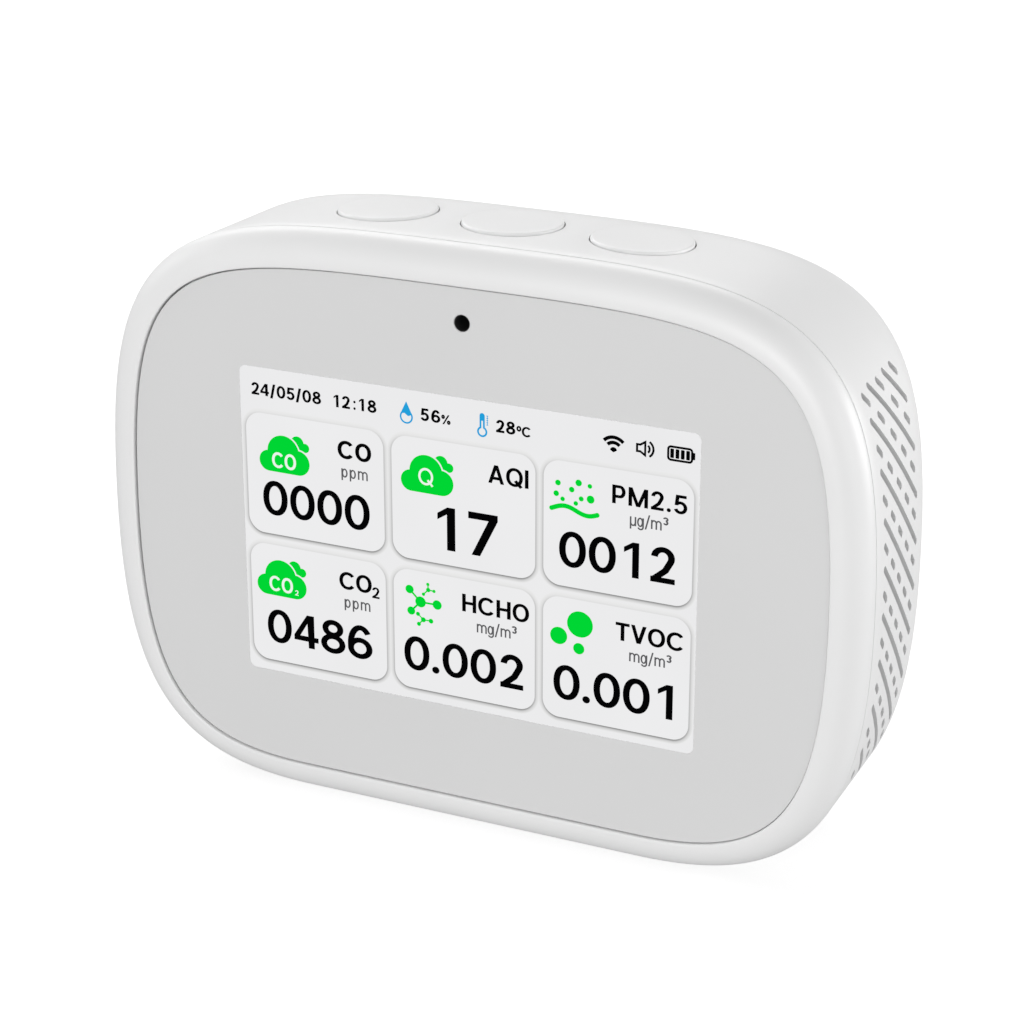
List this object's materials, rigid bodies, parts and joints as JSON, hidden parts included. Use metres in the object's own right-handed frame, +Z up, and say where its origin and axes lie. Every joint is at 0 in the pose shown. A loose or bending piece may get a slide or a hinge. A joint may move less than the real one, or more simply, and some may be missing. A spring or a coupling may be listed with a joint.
{
  "type": "air quality monitor",
  "caption": "Tabletop air quality monitor: rounded white case, flat grey front panel with a colour screen, round push buttons on top and slanted vent slots in both sides.",
  "frame": {"origin": "middle of the base, on the surface that the object stands on", "axes": "+X to the right of somebody facing the screen, +Y from the screen towards the back, +Z up"},
  "size_m": [0.1228, 0.035, 0.0909],
  "materials": {
    "case_white": "satin white moulded plastic with a very fine grain",
    "panel_grey": "smooth light grey front panel, printed from behind",
    "screen": "lit colour screen",
    "foam": "matte foam tape",
    "metal": "thin pressed sheet",
    "steel": "plated steel",
    "black_plastic": "matte black moulded plastic",
    "board_green": "circuit board with green solder mask",
    "flex_amber": "amber film",
    "sensor_white": "white moulded sensor housing",
    "battery_foil": "dull laminated foil",
    "lead_red": "soft wire insulation",
    "dust_mesh": "fine grey woven dust mesh"
  },
  "bodies": {
    "case": {"front_bezel": "case_white", "rear_housing": "case_white", "front_panel": "panel_grey", "display_module": "screen", "panel_tape": "foam", "battery_pad": "foam", "display_frame": "metal", "processor_shield": "metal", "wifi_module": "metal", "tvoc_sensor": "metal", "particle_sensor_cover": "metal", "switch_left": "metal", "switch_middle": "metal", "switch_right": "metal", "usb_socket": "steel", "case_screw_top_left": "steel", "case_screw_top_right": "steel", "case_screw_bottom_left": "steel", "case_screw_bottom_right": "steel", "board_screw_top_left": "steel", "board_screw_top_right": "steel", "board_screw_bottom_left": "steel", "board_screw_bottom_right": "steel", "sensor_sleeve": "black_plastic", "light_sensor": "black_plastic", "buzzer": "black_plastic", "climate_sensor": "black_plastic", "particle_sensor_case": "black_plastic", "main_board": "board_green", "button_board": "board_green", "charge_board": "board_green", "display_flex": "flex_amber", "button_flex": "flex_amber", "co2_sensor": "sensor_white", "co_sensor": "sensor_white", "hcho_sensor": "sensor_white", "battery_socket": "sensor_white", "battery": "battery_foil", "battery_lead": "lead_red", "charge_lead": "lead_red", "vent_mesh_left": "dust_mesh", "vent_mesh_right": "dust_mesh"},
    "left_button": {"button_left": "case_white", "switch_pin_left": "black_plastic"},
    "middle_button": {"button_middle": "case_white", "switch_pin_middle": "black_plastic"},
    "right_button": {"button_right": "case_white", "switch_pin_right": "black_plastic"},
    "sensor_fan": {"particle_sensor_fan": "black_plastic"}
  },
  "joints": [
    {"name": "left_button_press", "type": "slide", "parent": "case", "child": "left_button", "axis": [0, 0, -1], "range_m": [0, 0.0005], "stiffness_N_per_m": 900, "springref_m": -0.0006},
    {"name": "middle_button_press", "type": "slide", "parent": "case", "child": "middle_button", "axis": [0, 0, -1], "range_m": [0, 0.0005], "stiffness_N_per_m": 900, "springref_m": -0.0006},
    {"name": "right_button_press", "type": "slide", "parent": "case", "child": "right_button", "axis": [0, 0, -1], "range_m": [0, 0.0005], "stiffness_N_per_m": 900, "springref_m": -0.0006},
    {"name": "sensor_fan_spin", "type": "hinge", "parent": "case", "child": "sensor_fan", "pos_m": [-0.02, 0.001, 0.04755], "axis": [0, 1, 0], "continuous": true}
  ]
}
